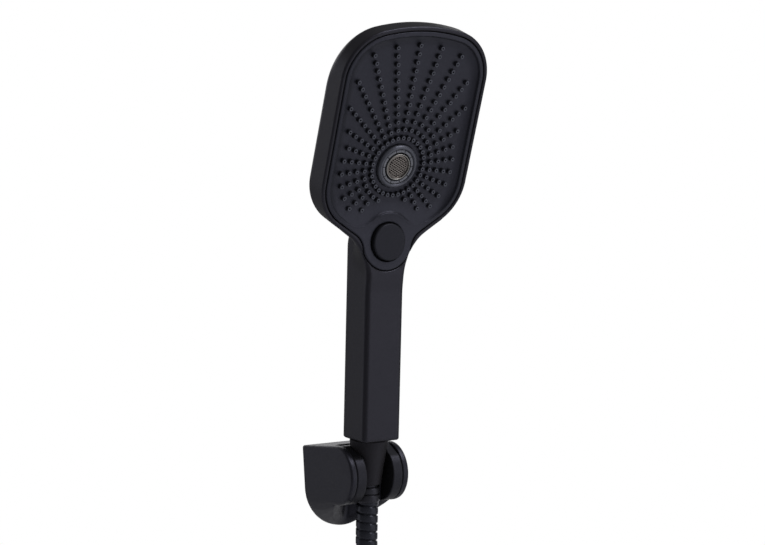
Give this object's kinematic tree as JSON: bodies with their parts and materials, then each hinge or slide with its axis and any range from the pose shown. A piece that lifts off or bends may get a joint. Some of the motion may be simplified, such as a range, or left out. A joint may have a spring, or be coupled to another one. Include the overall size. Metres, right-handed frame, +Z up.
{
  "type": "handheld shower head",
  "caption": "Dark satin hand shower with a rectangular spray head and push button, standing in a tilting wall bracket with its metal hose attached.",
  "frame": {"origin": "On the wall face behind the bracket, midway between its two wall screws.", "axes": "+X to the right of a person facing the wall, -Y straight away from the wall, +Z up."},
  "size_m": [0.1904, 0.1275, 0.5615],
  "materials": {
    "casing": "satin gunmetal lacquer over the moulded casing",
    "face": "satin gunmetal lacquer",
    "nozzle_rubber": "soft dark grey nozzles",
    "inner_plastic": "moulded white plastic",
    "bezel": "satin grey",
    "segments": "light grey",
    "bright_rim": "polished",
    "mesh": "perforated sheet",
    "button": "matte gunmetal",
    "spring_steel": "bright wire",
    "steel": "zinc plated",
    "seal_rubber": "black",
    "brass": "machined",
    "restrictor": "green plastic",
    "cone": "fine grained grey plastic",
    "ferrule": "smooth satin grey",
    "hose_metal": "dark spiral wound metal sleeve",
    "hose_stored": "dark spiral wound metal sleeve over a rubber hose",
    "tie": "black",
    "bracket": "satin gunmetal lacquer",
    "cradle": "dark satin plastic",
    "plate_steel": "pressed steel"
  },
  "bodies": {
    "bracket": {"bracket_body": "bracket", "wall_plate": "plate_steel", "grub_screw": "steel", "pivot_pins": "steel", "friction_washers": "seal_rubber"},
    "cradle": {"cradle": "cradle"},
    "hose_top": {"hose_ferrule": "ferrule", "hose_insert": "brass", "hose_stub": "hose_metal"},
    "handset": {"rear_casing": "casing", "face_plate": "face", "nozzle_mat": "nozzle_rubber", "spray_former": "inner_plastic", "chamber_cover": "inner_plastic", "cover_screws": "steel", "centre_bezel": "bezel", "segment_ring": "segments", "mesh_rim": "bright_rim", "mesh_disc": "mesh", "stem_seal": "seal_rubber", "diverter_housing": "inner_plastic", "diverter_cap": "inner_plastic", "water_duct": "inner_plastic", "inlet_tube": "inner_plastic", "tube_seals": "seal_rubber", "inlet_nipple": "brass", "flow_restrictor": "restrictor", "cone_nut": "cone", "inlet_washer": "seal_rubber"},
    "button": {"button_cap": "button", "button_stem": "inner_plastic", "button_spring": "spring_steel"},
    "diverter": {"diverter_rotor": "inner_plastic"},
    "hose": {"hose_tube": "hose_metal", "hose_coil": "hose_stored", "hose_tail": "hose_metal", "coil_tie": "tie", "end_ferrule": "ferrule", "end_insert": "brass"},
    "wall_nut": {"end_nut": "ferrule", "end_washer": "seal_rubber"}
  },
  "joints": [
    {"name": "cradle_tilt", "type": "hinge", "parent": "bracket", "child": "cradle", "pos_m": [0, -0.032, 0.007], "axis": [1, 0, 0], "range_deg": [-4, 14]},
    {"name": "handset_lift", "type": "slide", "parent": "cradle", "child": "hose_top", "axis": [0, -0.1392, 0.9903], "range_m": [0, 0.045]},
    {"name": "handset_swivel", "type": "hinge", "parent": "hose_top", "child": "handset", "pos_m": [0, -0.03944, 0.0312], "axis": [0, -0.1392, 0.9903], "continuous": true},
    {"name": "button_press", "type": "slide", "parent": "handset", "child": "button", "axis": [0, 0.9903, 0.1392], "range_m": [0, 0.0022], "stiffness_N_per_m": 1500, "springref_m": -0.002},
    {"name": "diverter_turn", "type": "hinge", "parent": "handset", "child": "diverter", "pos_m": [0, -0.05542, 0.15569], "axis": [0, 0.9903, 0.1392], "continuous": true},
    {"name": "hose_hang", "type": "hinge", "parent": "hose_top", "child": "hose", "pos_m": [0, -0.03109, -0.02822], "axis": [1, 0, 0], "range_deg": [-14, 4]},
    {"name": "wall_nut_spin", "type": "hinge", "parent": "hose", "child": "wall_nut", "pos_m": [0.09097, -0.016, -0.25392], "axis": [0.4138, 0, -0.9104], "continuous": true}
  ],
  "couplings": [
    {"joint": "hose_hang", "follows": "cradle_tilt", "ratio": -1}
  ]
}
